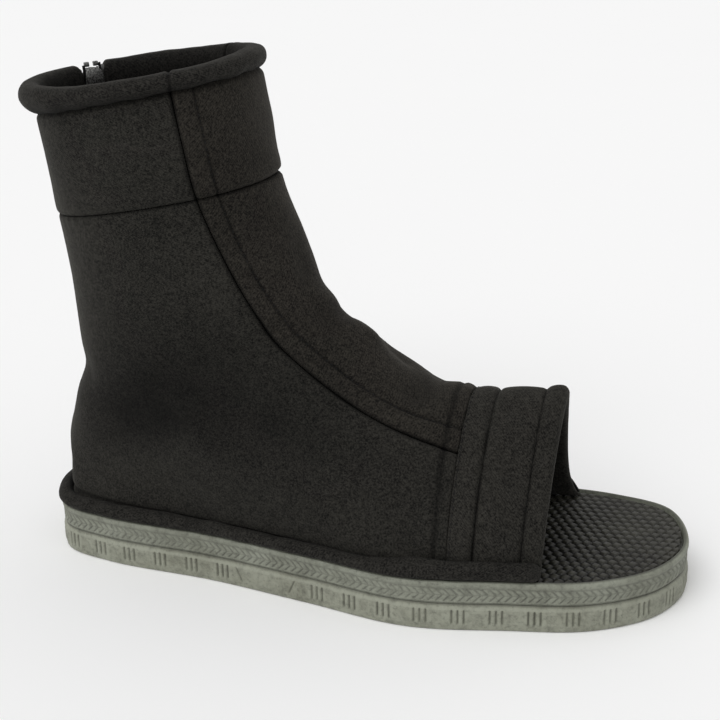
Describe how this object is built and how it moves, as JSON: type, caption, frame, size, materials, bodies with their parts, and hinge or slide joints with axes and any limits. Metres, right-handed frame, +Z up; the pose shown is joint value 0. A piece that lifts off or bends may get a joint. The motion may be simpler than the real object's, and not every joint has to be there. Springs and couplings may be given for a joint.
{
  "type": "open-toe ankle boot",
  "caption": "Soft black cloth ankle boot for the right foot: open toe with an arched hem, padded rolled collar, side zip with slider and pull, moulded two-layer sole.",
  "frame": {"origin": "on the ground under the middle of the outsole's length, on the heel's centre line", "axes": "+X towards the toes, +Y towards the inner side of the foot, +Z up"},
  "size_m": [0.2771, 0.0982, 0.2164],
  "materials": {
    "sole_rubber": "matt moulded",
    "sole_foam": "matt moulded",
    "board": "fibre board",
    "footbed_rubber": "embossed basket weave, slight gloss",
    "upper_cloth": "heavy twill, matt",
    "trim_cloth": "fine twill, matt",
    "lining_cloth": "knitted lining",
    "collar_foam": "open foam",
    "elastic": "ribbed elastic",
    "stiffener": "thin thermoplastic",
    "zip_tape": "woven tape",
    "zip_metal": "nickel plate"
  },
  "bodies": {
    "boot": {"outsole": "sole_rubber", "midsole": "sole_foam", "lasting_board": "board", "footbed": "footbed_rubber", "rand_piping": "trim_cloth", "quarter_lateral": "upper_cloth", "quarter_medial_front": "upper_cloth", "quarter_medial_rear": "upper_cloth", "vamp_gusset": "upper_cloth", "cuff_rear": "upper_cloth", "cuff_front": "upper_cloth", "cuff_medial": "upper_cloth", "collar_cover": "trim_cloth", "collar_foam": "collar_foam", "toe_band_rear": "upper_cloth", "toe_band_front": "upper_cloth", "toe_hem": "upper_cloth", "toe_elastic": "elastic", "lining_rear": "lining_cloth", "lining_front": "lining_cloth", "lining_medial": "lining_cloth", "lining_toe": "lining_cloth", "heel_counter": "stiffener", "zipper_tape_front": "zip_tape", "zipper_tape_rear": "zip_tape", "zipper_teeth_front": "zip_metal", "zipper_teeth_rear": "zip_metal", "zipper_top_stop_front": "zip_metal", "zipper_top_stop_rear": "zip_metal", "zipper_bottom_stop": "zip_metal"},
    "slider": {"zipper_slider": "zip_metal"},
    "pull": {"zipper_pull": "zip_metal"}
  },
  "joints": [
    {"name": "zip_slide", "type": "slide", "parent": "boot", "child": "slider", "axis": [0.1038, -0.0309, -0.9941], "range_m": [0, 0.085]},
    {"name": "pull_swing", "type": "hinge", "parent": "slider", "child": "pull", "pos_m": [-0.12377, 0.02448, 0.19957], "axis": [0.656, 0.7534, 0.045], "range_deg": [0, 170]}
  ]
}
